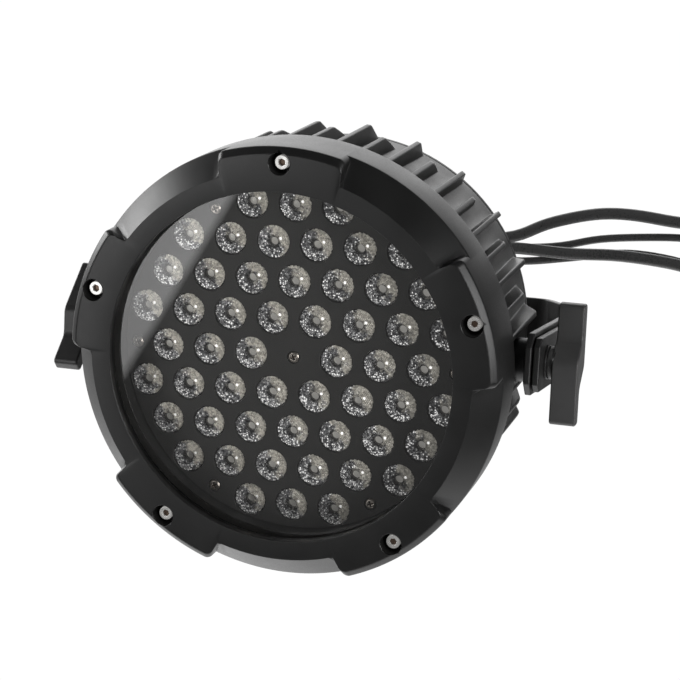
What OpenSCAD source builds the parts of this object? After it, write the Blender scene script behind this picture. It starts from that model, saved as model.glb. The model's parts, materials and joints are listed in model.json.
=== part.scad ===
// Weather-resistant LED par can light: a finned cast head held between two nested brackets
// by a pair of clamp knobs, with four cable tails leaving its back.
// The origin is the midpoint of the tilt axis. +X is to the right when facing the lenses,
// the beam leaves along -Y and +Z is up. All lengths are in millimetres.

/* [Bezel] */
// Outer diameter of the front bezel
bezel_d = 268.6; // [268:0.2:270]
// Diameter of the window in the bezel face
window_d = 215.6; // [213:0.2:217]
// Distance forward from the tilt axis to the bezel face
bezel_face = 77; // [76:0.5:79]
// Distance forward from the tilt axis to the rear edge of the bezel
bezel_rear = 30; // [29.5:0.5:31]
// Half angle of each notch in the bezel rim
notch_half_angle = 18.6; // [14:0.2:20]
// Radius of the circle of bezel screws
bezel_screw_r = 124.6; // [124:0.1:125]

/* [Lenses] */
// Distance between neighbouring lenses
lens_pitch = 27.3; // [26.5:0.1:27.4]
// Diameter of a lens
lens_d = 20.6; // [18:0.1:20.8]
// Thickness of the front glass
glass_t = 4; // [3:0.5:4]

/* [Housing] */
// Radius of the housing wall where it meets the bezel
wall_front_r = 121.5; // [120.5:0.5:123]
// Radius of the housing wall at its rear edge
wall_rear_r = 118; // [117:0.5:119]
// Distance back from the tilt axis to the rear edge of the housing
housing_back = 75; // [75:1:80]
// Outer radius of the fins
fin_r = 131; // [127:0.5:131]
// Thickness of a fin at its tip
fin_tip = 3; // [2:0.2:4]
// Number of fin positions round the housing, long and short in turn
fin_count = 48; // [32:8:48]

/* [Brackets and knobs] */
// Distance from the centre to the outer face of each pivot boss
boss_x = 137; // [136:0.5:137]
// Distance from the tilt axis to the outer face of the hanging yoke's crossbar
hanging_reach = 176; // [174:1:178]
// Thickness of both bracket bars
bar_t = 4; // [4:0.5:4.5]
// Width of the hanging yoke's bar
hanging_w = 33; // [28:1:38]
// Width of the stand yoke's bar
stand_w = 38; // [30:1:40]
// Angle of both folded brackets below the line to the back
fold_angle = 7.5; // [0:0.5:10]
// Half length of a clamp knob's wings
wing_reach = 36.5; // [30:0.5:40]
// Turn of the right knob about the tilt axis
right_knob_turn = 3; // [0:1:90]
// Turn of the left knob about the tilt axis
left_knob_turn = 51; // [0:1:90]

/* [Cables] */
// Radius of the two power cables
power_cable_r = 4.1; // [3:0.1:4.1]
// Radius of the two signal cables
signal_cable_r = 2.7; // [2:0.1:2.7]
// Steps in each stretch of a cable
cable_steps = 3; // [2:1:4]
// Flats round a cable
cable_sides = 16; // [12:2:20]

/* [Hidden] */
$fn = 96;

// Heights in the beam frame, measured forward from the tilt axis
bezel_r = bezel_d / 2;
bezel_chamfer = [4, 3.6];
window_r = window_d / 2;
inner_ledge = bezel_face - 7;
gasket_front = 69.5;
gasket_back = 56;
glass_back = 64;
glass_front = glass_back + glass_t;
glass_r = 113.9;
sight_r = 109.7;
flange_r = 128.5;
plate_face = 46;
plate_back = 43;
lens_face = 45.2;
well_floor = 41.6;
board_top = 32;
board_bottom = 30;
pad_bottom = 29;
spreader_rear = 19;
driver_face = 13.6;
cup_r = 110;
cavity_r = 113;

// Bezel notches and screws
notch_first = 54;
bezel_boss_r = 4.3;
screw_first = 18;
bezel_screw_seat = bezel_face - 10;
m5_head_r = 4.25;
m5_shank_r = 2.45;

// Lens lattice: every point within the square root of 13 pitches, but not the centre
row_step = lens_pitch * sin(60);
lens_sites = [
    for (row = [-4:4], column = [-4:4])
        let (x = (column + abs(row % 2) / 2) * lens_pitch, y = row * row_step)
        let (reach = (x * x + y * y) / (lens_pitch * lens_pitch))
        if (reach > 0.5 && reach < 13.5) [x, y]
];
plate_screw_r = 102;
plate_screw_sites = [
    [0, 0],
    for (i = [0:5]) [plate_screw_r * cos(60 * i), plate_screw_r * sin(60 * i)]
];

// Rear cover, measured back from the tilt axis
cover_seat = housing_back + 1;
cover_back = housing_back + 21;
cover_wall = 3.5;
cover_screw_r = 107;
cover_screw_first = 30;
cover_boss_r = 7.5;
panel_x = 96;
panel_z = 46;
panel_centre = -34;
panel_back = cover_back + 0.8;
button_z = panel_centre - 12;
button_x = [-30, -10, 10, 30];
board_back = cover_back - 10.4;
eye_z = 86;
vent_x = 70;
vent_z = -20;

// Cable glands: position and cable radius, power in, power out, signal in, signal out
gland_sites = [
    [-8, 32, power_cable_r],
    [48, 30, power_cable_r],
    [-36, 30, signal_cable_r],
    [20, 28, signal_cable_r]
];

// Clamp stack along the tilt axis
stud_r = 4;
stud_hole_r = 4.08;
clamp_gap = 0.05;
stand_x = boss_x + 5.5;
hanging_x = boss_x + 10.5;
clamp_washer_t = 1.5;
knob_x = hanging_x + clamp_washer_t + 2 * clamp_gap;
wing_x = hanging_x + 5.1;
wing_t = 16.2;
knob_neck_r = 10.3;
arc_steps = 6;
yoke_bend_r = 16;
hanging_cut = [31, 46];
yoke_step = hanging_x - stand_x;
stand_reach = hanging_reach - yoke_step;
mount_hole_r = 6.5;

// Straight stretch of each inline connector, along +X from its cable entry
connector_x = 228;
power_in_end = [connector_x, 150, 62];
power_out_end = [connector_x, 138, 30];
signal_in_end = [connector_x, 176, 46];
signal_out_end = [connector_x, 168, 24];

// Centre lines of the cables from the mouth of each gland to its connector
gland_mouth = cover_back + 22;
power_in_path = [
    [-8, gland_mouth, 32], [0, 146, 33], [30, 158, 35], [85, 158, 39.9],
    [112, 158, 52], [145, 157, 61.5], [172, 156, 63], [202, 152, 61], power_in_end
];
power_out_path = [
    [48, gland_mouth, 30], [54, 136, 31], [72, 147, 34], [95, 149, 35.5],
    [130, 148, 34.8], [165, 146, 36.9], [205, 141, 35], power_out_end
];
signal_in_path = [
    [-36, gland_mouth, 30], [-30, 145, 30], [0, 165, 30], [60, 167, 30],
    [115, 166, 34.6], [147, 166, 42.8], [187, 168, 46.8], [208, 173, 46.5], signal_in_end
];
signal_out_path = [
    [20, gland_mouth, 28], [26, 138, 27], [48, 155, 25], [80, 159, 24],
    [102, 158, 25.3], [135, 158, 31], [168, 160, 36], [202, 165, 32], signal_out_end
];

// ---- Helpers ----

// Stands children in the beam frame: local +Z is the beam direction, local +Y is up
module beam_frame() {
    rotate([90, 0, 0]) children();
}

// Stands children on the back: local +Z points away from the lenses, local +Y is up
module back_frame() {
    rotate([90, 0, 0]) mirror([0, 0, 1]) children();
}

// Repeats children at equal steps round local Z
module ring_of(count, first) {
    for (i = [0:count - 1]) rotate(first + i * 360 / count) children();
}

// Lays children so that local +Z points along +X, with local +X down
module along_x() {
    rotate([0, 90, 0]) children();
}

// Plain tube from height z0 to z1
module tube(z0, z1, r_out, r_in) {
    translate([0, 0, z0]) difference() {
        cylinder(r = r_out, h = z1 - z0);
        translate([0, 0, -1]) cylinder(r = r_in, h = z1 - z0 + 2);
    }
}

// Straight rod from height z0 to z1
module rod(z0, z1, r) {
    translate([0, 0, z0]) cylinder(r = r, h = z1 - z0);
}

// Block between two heights, centred in plan
module slab(x, y, z0, z1) {
    translate([-x / 2, -y / 2, z0]) cube([x, y, z1 - z0]);
}

// Point on a smooth curve between p[i] and p[i + 1], t from 0 to 1
function curve_point(p, i, t) =
    let (a = p[i - 1], b = p[i], c = p[i + 1], d = p[i + 2])
    0.5 * (2 * b + (c - a) * t + (2 * a - 5 * b + 4 * c - d) * t * t
        + (3 * b - a - 3 * c + d) * t * t * t);

// Path p with a point added beyond each end, so that it leaves along +Y and arrives along +X
function with_ends(p) =
    let (first = p[0], second = p[1], last = p[len(p) - 1], before = p[len(p) - 2])
    concat(
        [[second[0], 2 * first[1] - second[1], second[2]]],
        p,
        [[2 * last[0] - before[0], before[1], before[2]]]
    );

// Every station along a cable: straight in its gland, curved, then straight in its connector
function stations(p, inset) =
    let (q = with_ends(p), last = p[len(p) - 1])
    concat(
        [[p[0][0], cover_back - 12, p[0][2]]],
        [for (i = [1:len(q) - 3], s = [0:cable_steps - 1]) curve_point(q, i, s / cable_steps)],
        [last, last + [inset, 0, 0]]
    );

function unit(v) = v / norm(v);

// Points of the arc that rounds corner b, between a and c, to radius r
function round_corner(a, b, c, r) =
    let (u = unit(a - b), v = unit(c - b))
    let (half = acos(u * v) / 2, centre = b + unit(u + v) * r / sin(half))
    let (start = b + u * r / tan(half) - centre, end = b + v * r / tan(half) - centre)
    [for (i = [0:arc_steps])
        let (t = i / arc_steps) centre + r * unit(start * (1 - t) + end * t)];

// Corners of the cable's section at station i
function cable_ring(s, i, r) =
    let (along = unit(s[min(i + 1, len(s) - 1)] - s[max(i - 1, 0)]))
    let (side = unit(cross(along, [0, 0, 1])), top = cross(side, along))
    [for (j = [0:cable_sides - 1])
        let (a = j * 360 / cable_sides) s[i] + r * (cos(a) * side + sin(a) * top)];

// Flexible cable of radius r along path p, reaching inset into its connector
module cable(p, r, inset) {
    s = stations(p, inset);
    n = cable_sides;
    last = (len(s) - 1) * n;
    polyhedron(
        points = [for (i = [0:len(s) - 1]) each cable_ring(s, i, r)],
        faces = concat(
            [[for (j = [n - 1:-1:0]) j]],
            [for (i = [0:n:last - n], j = [0:n - 1])
                [i + j, i + (j + 1) % n, i + n + (j + 1) % n, i + n + j]],
            [[for (j = [0:n - 1]) last + j]]
        )
    );
}

// ---- Front of the head ----

// Bezel section: face with a chamfered rim, sight wall, gasket seat and flange socket
module bezel_section() {
    polygon([
        [window_r, bezel_face], [bezel_r - bezel_chamfer[0], bezel_face],
        [bezel_r, bezel_face - bezel_chamfer[1]], [bezel_r, bezel_rear],
        [129, bezel_rear], [129, 60], [117, 60],
        [117, gasket_front], [109.2, gasket_front], [109.2, inner_ledge],
        [window_r, inner_ledge]
    ]);
}

// Material removed from the rim by one notch
module notch_section() {
    polygon([
        [119.5, bezel_face], [119.5, bezel_face + 1], [bezel_r + 2, bezel_face + 1],
        [bezel_r + 2, 57.9], [bezel_r, bezel_face - 17]
    ]);
}

module front_bezel() {
    color([0.09, 0.09, 0.095]) beam_frame() difference() {
        union() {
            rotate_extrude() bezel_section();
            ring_of(5, screw_first) translate([bezel_screw_r, 0, 0])
                rod(gasket_back + 0.5, 60.5, bezel_boss_r);
        }
        ring_of(5, notch_first - notch_half_angle)
            rotate_extrude(angle = 2 * notch_half_angle) notch_section();
        ring_of(5, screw_first) translate([bezel_screw_r, 0, 0]) {
            rod(46, bezel_screw_seat + 1, 2.7);
            rod(bezel_screw_seat, bezel_face + 1, 6.5);
        }
    }
}

// Cap screw with its head resting at height seat
module cap_screw(seat, tip, head_r, head_h, shank_r) {
    difference() {
        union() {
            rod(tip, seat + 0.5, shank_r);
            rod(seat, seat + head_h, head_r);
        }
        translate([0, 0, seat + head_h / 2]) cylinder(r = head_r * 0.54, h = head_h, $fn = 6);
    }
}

module bezel_screws() {
    color([0.75, 0.75, 0.73]) beam_frame()
        ring_of(5, screw_first) translate([bezel_screw_r, 0, 0])
            cap_screw(bezel_screw_seat, 35, m5_head_r, 5, m5_shank_r);
}

module glass_gasket() {
    color([0.12, 0.12, 0.12]) beam_frame() rotate_extrude() polygon([
        [sight_r, gasket_front], [117, gasket_front], [117, gasket_back],
        [sight_r + 0.5, gasket_back], [sight_r + 0.5, glass_back], [114, glass_back],
        [114, glass_front], [sight_r, glass_front]
    ]);
}

module front_glass() {
    color([0.8, 0.85, 0.85, 0.3]) beam_frame() rod(glass_back, glass_front, glass_r);
}

module lens_plate() {
    color([0.1, 0.1, 0.1]) beam_frame() difference() {
        union() {
            rod(plate_back, plate_face, 109.3);
            for (p = plate_screw_sites) translate(p) rod(board_top, plate_back + 1, 4.5);
        }
        for (p = lens_sites) translate(p) rod(plate_back - 1, plate_face + 1, lens_d / 2 + 0.2);
        for (p = plate_screw_sites) translate(p) {
            rod(board_top - 1, plate_face, 2.15);
            rod(plate_face - 1.6, plate_face + 1, 4);
        }
    }
}

// Pan-head screw with a cross recess, head resting at height seat
module pan_screw(seat, tip, head_r, head_h, shank_r) {
    difference() {
        union() {
            rod(tip, seat + 0.5, shank_r);
            rod(seat, seat + head_h * 0.6, head_r);
            translate([0, 0, seat + head_h * 0.6])
                cylinder(r1 = head_r, r2 = head_r * 0.7, h = head_h * 0.4);
        }
        for (a = [0, 90]) rotate(a)
            slab(head_r * 1.1, head_r * 0.26, seat + head_h * 0.35, seat + head_h + 1);
    }
}

module lens_plate_screws() {
    color([0.55, 0.52, 0.5]) beam_frame() for (p = plate_screw_sites)
        translate(p) rotate(25) pan_screw(plate_face - 1.6, 22, 3.7, 2, 1.95);
}

// One total-internal-reflection lens with its rear cavity and front well
module collimator() {
    rotate_extrude() polygon([
        [0, 36.5], [3.4, 36.5], [3.8, 32.6], [5.2, 32.6], [7.6, 36.2], [9.3, 40],
        [lens_d / 2, 43.6], [lens_d / 2, lens_face], [2.9, lens_face], [2.7, well_floor],
        [0, well_floor]
    ]);
}

module collimator_lenses() {
    color([0.85, 0.85, 0.82, 0.7]) beam_frame() for (p = lens_sites) translate(p) collimator();
}

module led_board() {
    color([0.9, 0.9, 0.88]) beam_frame() difference() {
        rod(board_bottom, board_top, 107);
        for (p = plate_screw_sites) translate(p) rod(board_bottom - 1, board_top + 1, 2.2);
    }
}

module led_emitters() {
    color([0.9, 0.85, 0.55]) beam_frame() for (p = lens_sites) translate(p) {
        slab(5, 5, board_top, board_top + 0.9);
        translate([0, 0, board_top + 0.9]) cylinder(r1 = 1.9, r2 = 1.1, h = 1.5);
    }
}

module thermal_pad() {
    color([0.6, 0.6, 0.65]) beam_frame() difference() {
        rod(pad_bottom, board_bottom, 106);
        for (p = plate_screw_sites) translate(p) rod(pad_bottom - 1, board_bottom + 1, 2.4);
        translate([0, -16, 0]) rod(pad_bottom - 1, board_bottom + 1, 3.5);
    }
}

// ---- Housing ----

// Wall, flange and heat spreader in section
module housing_section() {
    polygon([
        [0, spreader_rear], [cavity_r, spreader_rear], [cavity_r, -housing_back],
        [wall_rear_r, -housing_back], [wall_front_r, 29.5], [flange_r, 29.5],
        [flange_r, gasket_back], [cup_r, gasket_back], [cup_r, pad_bottom], [0, pad_bottom]
    ]);
}

// Rib with a slight draft and a round tip, in plan
module fin_plan() {
    tip = fin_r - fin_tip / 2;
    polygon([[115, -2.3], [tip, -fin_tip / 2], [tip, fin_tip / 2], [115, 2.3]]);
    translate([tip, 0]) circle(r = fin_tip / 2, $fn = 24);
}

// One family of fins, cut to its sloping rear end
module fins(sites, shoulder, foot) {
    intersection() {
        translate([0, 0, -foot]) linear_extrude(height = foot + 29.5)
            for (a = sites) rotate(a) fin_plan();
        rotate_extrude() polygon([
            [114, 29.5], [fin_r + 1, 29.5], [fin_r + 1, -shoulder + 2],
            [wall_rear_r + 1, -foot], [114, -foot]
        ]);
    }
}

fin_step = 360 / fin_count;
long_fins = [for (i = [0:fin_count / 2 - 1]) (2 * i + 1) * fin_step];
short_fins = [for (i = [0:fin_count / 2 - 1]) if (i % (fin_count / 4) != 0) 2 * i * fin_step];

module housing() {
    color([0.2, 0.2, 0.205]) difference() {
        union() {
            beam_frame() {
                rotate_extrude() housing_section();
                fins(long_fins, 49, 72);
                fins(short_fins, 25, 57);
                ring_of(6, cover_screw_first)
                    translate([cover_screw_r, 0, 0]) rod(1 - housing_back, -50, cover_boss_r);
            }
            for (s = [-1, 1]) scale([s, 1, 1]) along_x() rod(115, boss_x, 13.5);
        }
        for (s = [-1, 1]) scale([s, 1, 1]) along_x() rod(117, boss_x + 1, stud_hole_r);
        beam_frame() {
            ring_of(5, screw_first) translate([bezel_screw_r, 0, 0])
                rod(33, gasket_back + 1.5, 2.5);
            for (p = plate_screw_sites) translate(p) rod(21, 30, 2);
            ring_of(6, cover_screw_first)
                translate([cover_screw_r, 0, 0]) rod(-housing_back - 1, -57, 2);
            translate([0, -16, 0]) rod(spreader_rear - 1, pad_bottom + 1, 3.5);
        }
    }
}

// ---- Rear cover ----

module rear_seal() {
    color([0.1, 0.1, 0.1]) back_frame()
        tube(housing_back, cover_seat, wall_rear_r - 0.2, cavity_r + 0.2);
}

// Domed cover in section, measured back from the tilt axis
module cover_section() {
    polygon([
        [0, cover_back - cover_wall], [97, cover_back - cover_wall], [109, cover_seat + 5],
        [109, cover_seat - 3], [cavity_r - 0.2, cover_seat - 3], [cavity_r - 0.2, cover_seat],
        [wall_rear_r, cover_seat], [wall_rear_r, cover_seat + 3.5],
        [105, cover_back - 3], [98, cover_back], [0, cover_back]
    ]);
}

// Raised ribs across the rim of the cover
module cover_ribs() {
    intersection() {
        for (i = [0:17]) rotate(i * 20 + 10) translate([66, -1.5, cover_back - 1]) cube([50, 3, 4]);
        rotate_extrude() polygon([
            [68, cover_back - 2], [68, cover_back + 0.5], [70, cover_back + 2], [96, cover_back + 2],
            [104, cover_back - 1], [104, cover_back - 3]
        ]);
    }
}

module rear_cover() {
    color([0.16, 0.16, 0.165]) back_frame() difference() {
        union() {
            rotate_extrude() cover_section();
            difference() {
                cover_ribs();
                translate([0, panel_centre, 0]) slab(panel_x + 8, panel_z + 8, 0, 200);
                for (g = gland_sites) translate([g[0], g[1], 0]) rod(0, 200, 15);
                translate([vent_x, vent_z, 0]) rod(0, 200, 10);
                translate([0, eye_z, 0]) rod(0, 200, 10);
            }
            ring_of(6, cover_screw_first) translate([cover_screw_r, 0, 0]) intersection() {
                rod(cover_seat, cover_back - 3, 6);
                translate([-cover_screw_r, 0, 0]) cylinder(r = wall_rear_r - 5.3, h = 200);
            }
            translate([0, eye_z, 0]) rod(cover_back - 12, cover_back - 2, 8);
            for (x = [-46, 46], z = [-22, 22])
                translate([x, panel_centre + z, 0]) rod(board_back, cover_back - 3, 3);
        }
        translate([0, panel_centre, 0]) {
            slab(panel_x + 0.4, panel_z + 0.4, cover_back - 1, cover_back + 5);
            slab(86, 38, cover_back - 8, cover_back + 5);
        }
        ring_of(6, cover_screw_first) translate([cover_screw_r, 0, 0]) {
            rod(cover_seat - 4, cover_seat - 0.5, cover_boss_r + 0.5);
            rod(cover_seat - 4, cover_seat + 5, 2.3);
            rod(cover_seat + 4, cover_back + 5, 4.6);
        }
        for (g = gland_sites) translate([g[0], g[1], 0])
            rod(cover_back - 20, cover_back + 5, gland_thread_r(g[2]) + 0.05);
        translate([vent_x, vent_z, 0]) rod(cover_back - 20, cover_back + 5, 6);
        translate([0, eye_z, 0]) rod(cover_back - 10, cover_back + 5, 4.02);
    }
}

module rear_cover_screws() {
    color([0.7, 0.7, 0.68]) back_frame()
        ring_of(6, cover_screw_first) translate([cover_screw_r, 0, 0])
            cap_screw(cover_seat + 4, 60, 3.6, 4, 1.95);
}

module control_panel() {
    color([0.05, 0.05, 0.05]) back_frame() translate([0, panel_centre, 0]) difference() {
        slab(panel_x, panel_z, cover_back - 1, panel_back);
        translate([0, 8, 0]) slab(46.2, 18.2, cover_back - 2, panel_back + 1);
        for (x = button_x) translate([x, button_z - panel_centre, 0])
            rod(cover_back - 2, panel_back + 1, 4.46);
    }
}

module display_window() {
    color([0.3, 0.05, 0.05, 0.6]) back_frame() translate([0, panel_centre + 8, 0])
        slab(46, 18, cover_back - 0.8, panel_back - 0.2);
}

module display_module() {
    color([0.15, 0.15, 0.15]) back_frame() translate([0, panel_centre + 8, 0])
        slab(44, 17, board_back, cover_back - 1.2);
}

// Round push button with a retaining flange behind the panel and a stem to its switch
module button(x) {
    back_frame() translate([x, button_z, 0]) {
        rod(cover_back - 2.8, panel_back + 1.4, 4.4);
        rod(cover_back - 2.8, cover_back - 1.2, 5.2);
        rod(board_back + 4.6, cover_back - 2, 1.8);
    }
}

module button_menu() {
    color([0.5, 0.5, 0.5]) button(button_x[0]);
}

module button_up() {
    color([0.5, 0.5, 0.5]) button(button_x[1]);
}

module button_down() {
    color([0.5, 0.5, 0.5]) button(button_x[2]);
}

module button_enter() {
    color([0.5, 0.5, 0.5]) button(button_x[3]);
}

// Board behind the panel, with one tactile switch under each button
module control_board() {
    color([0.1, 0.35, 0.2]) back_frame() {
        translate([0, panel_centre, 0]) slab(100, 50, board_back - 1.6, board_back);
        for (x = button_x) translate([x, button_z, 0]) {
            slab(6, 6, board_back, board_back + 2.6);
            rod(board_back + 2, board_back + 3.5, 1.6);
        }
    }
}

// ---- Inside the housing ----

module power_supply() {
    color([0.7, 0.7, 0.72]) beam_frame() translate([0, 44, 0]) {
        difference() {
            slab(124, 68, -22, driver_face);
            slab(120, 64, -20, driver_face - 2);
        }
        translate([50, 0, 0]) slab(14, 50, -34, -22);
    }
}

module driver_board() {
    color([0.1, 0.35, 0.2]) beam_frame() {
        translate([0, -54, 0]) slab(120, 60, driver_face - 1.6, driver_face);
        for (x = [-42, -14, 14, 42]) translate([x, -66, 0]) rod(-2, driver_face - 1.4, 9);
        translate([0, -36, 0]) slab(30, 9, 2, driver_face - 1.4);
        translate([-40, -40, 0]) slab(18, 18, 6, driver_face - 1.4);
        translate([40, -40, 0]) slab(18, 18, 6, driver_face - 1.4);
    }
}

module board_standoffs() {
    color([0.8, 0.7, 0.4]) beam_frame() {
        for (x = [-55, 55], y = [-80, -28]) translate([x, y, 0]) rod(driver_face, spreader_rear, 3);
        for (x = [-55, 55], y = [16, 72]) translate([x, y, 0]) rod(driver_face, spreader_rear, 3);
    }
}

module led_leads() {
    color([0.7, 0.1, 0.1]) beam_frame() translate([0, -16, 0]) {
        rod(8, board_bottom, 3);
        translate([0, 0, 8]) sphere(r = 3);
        translate([0, 0, 8]) rotate([90, 0, 0]) cylinder(r = 3, h = 15.5);
    }
}

// ---- Glands, vent and safety eye ----

function gland_thread_r(r) = r > 3.5 ? 8 : 6;
function gland_hex_r(r) = r > 3.5 ? 12.6 : 9.8;
function gland_nut_r(r) = r > 3.5 ? 10.8 : 8.4;

// Threaded tube and hexagon base of one gland
module gland_body(r) {
    difference() {
        union() {
            rod(cover_back - 9, cover_back + 1, gland_thread_r(r));
            rotate(30) translate([0, 0, cover_back])
                cylinder(r = gland_hex_r(r), h = 6, $fn = 6);
            rod(cover_back + 5, cover_back + 12, gland_thread_r(r) - 1);
        }
        rod(cover_back - 10, cover_back + 13, r + 0.2);
    }
}

module gland_bodies() {
    color([0.08, 0.08, 0.08]) back_frame() for (g = gland_sites)
        translate([g[0], g[1], 0]) gland_body(g[2]);
}

module gland_locknuts() {
    color([0.08, 0.08, 0.08]) back_frame() for (g = gland_sites)
        translate([g[0], g[1], 0]) difference() {
            translate([0, 0, cover_back - 8])
                cylinder(r = gland_hex_r(g[2]) + 0.5, h = 4.4, $fn = 6);
            rod(cover_back - 9, cover_back, gland_thread_r(g[2]) + 0.02);
        }
}

module gland_seals() {
    color([0.2, 0.2, 0.2]) back_frame() for (g = gland_sites)
        translate([g[0], g[1], 0])
            tube(cover_back + 12.1, cover_back + 17, gland_thread_r(g[2]) - 1.2, g[2] + 0.02);
}

// Domed clamping nut, hollow over the seal
module gland_nut(r) {
    thread_r = gland_thread_r(r) - 0.95;
    nut_r = gland_nut_r(r);
    low = cover_back + 6.2;
    rotate_extrude() polygon([
        [thread_r, low], [nut_r, low], [nut_r, low + 7], [nut_r - 1.6, low + 11],
        [r + 2.4, low + 13.4], [r + 0.6, low + 13.4], [r + 0.6, low + 11.2],
        [thread_r, low + 10.9]
    ]);
}

module gland_nuts() {
    color([0.08, 0.08, 0.08]) back_frame() for (g = gland_sites)
        translate([g[0], g[1], 0]) gland_nut(g[2]);
}

module vent_plug() {
    color([0.12, 0.12, 0.12]) back_frame() translate([vent_x, vent_z, 0]) difference() {
        union() {
            rod(cover_back - 6, cover_back + 1, 5.95);
            rod(cover_back, cover_back + 5, 8);
        }
        for (a = [0, 60, 120]) rotate(a) slab(20, 1.6, cover_back + 2.6, cover_back + 3.8);
        rod(cover_back - 7, cover_back + 3, 2.5);
    }
}

// Eye bolt for the safety cable; its hole runs along X
module safety_eye() {
    color([0.7, 0.7, 0.7]) translate([0, 0, eye_z]) {
        back_frame() rod(cover_back - 9, cover_back + 3, 4);
        back_frame() rod(cover_back, cover_back + 3.5, 8);
        difference() {
            union() {
                translate([-2.5, cover_back + 15, 0]) along_x() cylinder(r = 11, h = 5);
                translate([-2.5, cover_back + 2, -6]) cube([5, 8, 12]);
            }
            translate([-4, cover_back + 15, 0]) along_x() cylinder(r = 6, h = 8);
        }
    }
}

// ---- Cables and connectors ----

module power_in_cable() {
    color([0.07, 0.07, 0.07]) cable(power_in_path, power_cable_r, 14);
}

module power_out_cable() {
    color([0.07, 0.07, 0.07]) cable(power_out_path, power_cable_r, 14);
}

module signal_in_cable() {
    color([0.07, 0.07, 0.07]) cable(signal_in_path, signal_cable_r, 10);
}

module signal_out_cable() {
    color([0.07, 0.07, 0.07]) cable(signal_out_path, signal_cable_r, 10);
}

// Inline connector body from local z = 0 at the cable entry; k scales it to its cable
module connector_body(k, cable_r) {
    difference() {
        rotate_extrude() polygon([
            [0, 0], [7 * k, 0], [8.6 * k, 2 * k], [9.6 * k, 12 * k], [9.6 * k, 17 * k],
            [12 * k, 19 * k], [12 * k, 34 * k], [10.4 * k, 34 * k], [10.4 * k, 58 * k],
            [0, 58 * k]
        ]);
        rod(-1, 15, cable_r + 0.05);
        rod(48 * k, 59 * k, 8.4 * k);
    }
}

// Knurled collar that turns on the connector body
module connector_ring(k) {
    translate([0, 0, 34.2 * k]) difference() {
        rod(0, 22 * k, 14 * k);
        rod(-1, 23 * k, 10.4 * k + 0.06);
        ring_of(12, 0) translate([14.6 * k, 0, 0]) rod(-1, 23 * k, 1.8 * k);
    }
}

module power_in_plug() {
    color([0.08, 0.08, 0.08]) translate(power_in_end) along_x() connector_body(1, power_cable_r);
}

module power_out_socket() {
    color([0.08, 0.08, 0.08]) translate(power_out_end) along_x() connector_body(1, power_cable_r);
}

module signal_in_plug() {
    color([0.08, 0.08, 0.08]) translate(signal_in_end) along_x() connector_body(0.66, signal_cable_r);
}

module signal_out_socket() {
    color([0.08, 0.08, 0.08]) translate(signal_out_end) along_x() connector_body(0.66, signal_cable_r);
}

module power_in_ring() {
    color([0.1, 0.1, 0.1]) translate(power_in_end) along_x() connector_ring(1);
}

module power_out_ring() {
    color([0.1, 0.1, 0.1]) translate(power_out_end) along_x() connector_ring(1);
}

module signal_in_ring() {
    color([0.1, 0.1, 0.1]) translate(signal_in_end) along_x() connector_ring(0.66);
}

module signal_out_ring() {
    color([0.1, 0.1, 0.1]) translate(signal_out_end) along_x() connector_ring(0.66);
}

// Three contacts standing in the mouth of each connector
module connector_pins() {
    color([0.85, 0.75, 0.4]) for (c = [
        [power_in_end, 1], [power_out_end, 1], [signal_in_end, 0.66], [signal_out_end, 0.66]
    ]) translate(c[0]) along_x() ring_of(3, 0)
        translate([4 * c[1], 0, 0]) rod(48 * c[1], 56 * c[1], 1.3 * c[1]);
}

// ---- Brackets ----

module friction_washers() {
    color([0.1, 0.1, 0.1]) for (s = [-1, 1]) scale([s, 1, 1]) along_x()
        tube(boss_x, stand_x - bar_t - clamp_gap, 13.5, stud_hole_r);
}

module spacer_washers() {
    color([0.1, 0.1, 0.1]) for (s = [-1, 1]) scale([s, 1, 1]) along_x()
        tube(stand_x + clamp_gap, hanging_x - bar_t - clamp_gap, 13, stud_hole_r);
}

// Corner cut of an outline that lies t inside one with the given cut
function inner_cut(cut, t) =
    let (slant = norm(cut))
    [cut[0] - t + t * (slant - cut[0]) / cut[1], cut[1] - t + t * (slant - cut[1]) / cut[0]];

// Filled U outline, reaching along +Y, with slanting corners and rounded bends
module u_outline(half, reach, cut, r) {
    foot = [half, -60];
    low = [half, reach - cut[1]];
    high = [half - cut[0], reach];
    right = concat([foot], round_corner(foot, low, high, r), round_corner(low, high, [0, reach], r));
    left = [for (i = [len(right) - 1:-1:0]) [-right[i][0], right[i][1]]];
    polygon(concat(right, left));
}

// Side outline of a bracket arm: square front end with both corners cut off
module arm_side(width, tail, cut) {
    side = width / 2;
    polygon([
        [-tail, cut - side], [cut - tail, -side], [200, -side], [200, side], [cut - tail, side],
        [-tail, side - cut]
    ]);
}

// Flat bar bent to a U, with cut arm ends, pivot holes and one hole in its crossbar
module yoke(half, reach, width, bend_cut, tail, end_cut) {
    rotate([-fold_angle, 0, 0]) difference() {
        intersection() {
            linear_extrude(height = width + 2, center = true) difference() {
                u_outline(half, reach, bend_cut, yoke_bend_r);
                u_outline(half - bar_t, reach - bar_t, inner_cut(bend_cut, bar_t),
                    yoke_bend_r - bar_t);
            }
            rotate([90, 0, 90]) linear_extrude(height = 400, center = true)
                arm_side(width, tail, end_cut);
        }
        translate([-200, 0, 0]) along_x() cylinder(r = stud_hole_r, h = 400);
        translate([0, reach - 10, 0]) rotate([-90, 0, 0]) cylinder(r = mount_hole_r, h = 20);
    }
}

module stand_yoke() {
    color([0.13, 0.13, 0.135])
        yoke(stand_x, stand_reach, stand_w, inner_cut(hanging_cut, yoke_step), 25, 8);
}

module hanging_yoke() {
    color([0.15, 0.15, 0.155]) yoke(hanging_x, hanging_reach, hanging_w, hanging_cut, 23, 5);
}

// ---- Knobs ----

module clamp_washer() {
    along_x() tube(hanging_x + clamp_gap, hanging_x + clamp_gap + clamp_washer_t, 10.5, stud_hole_r);
}

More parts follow.
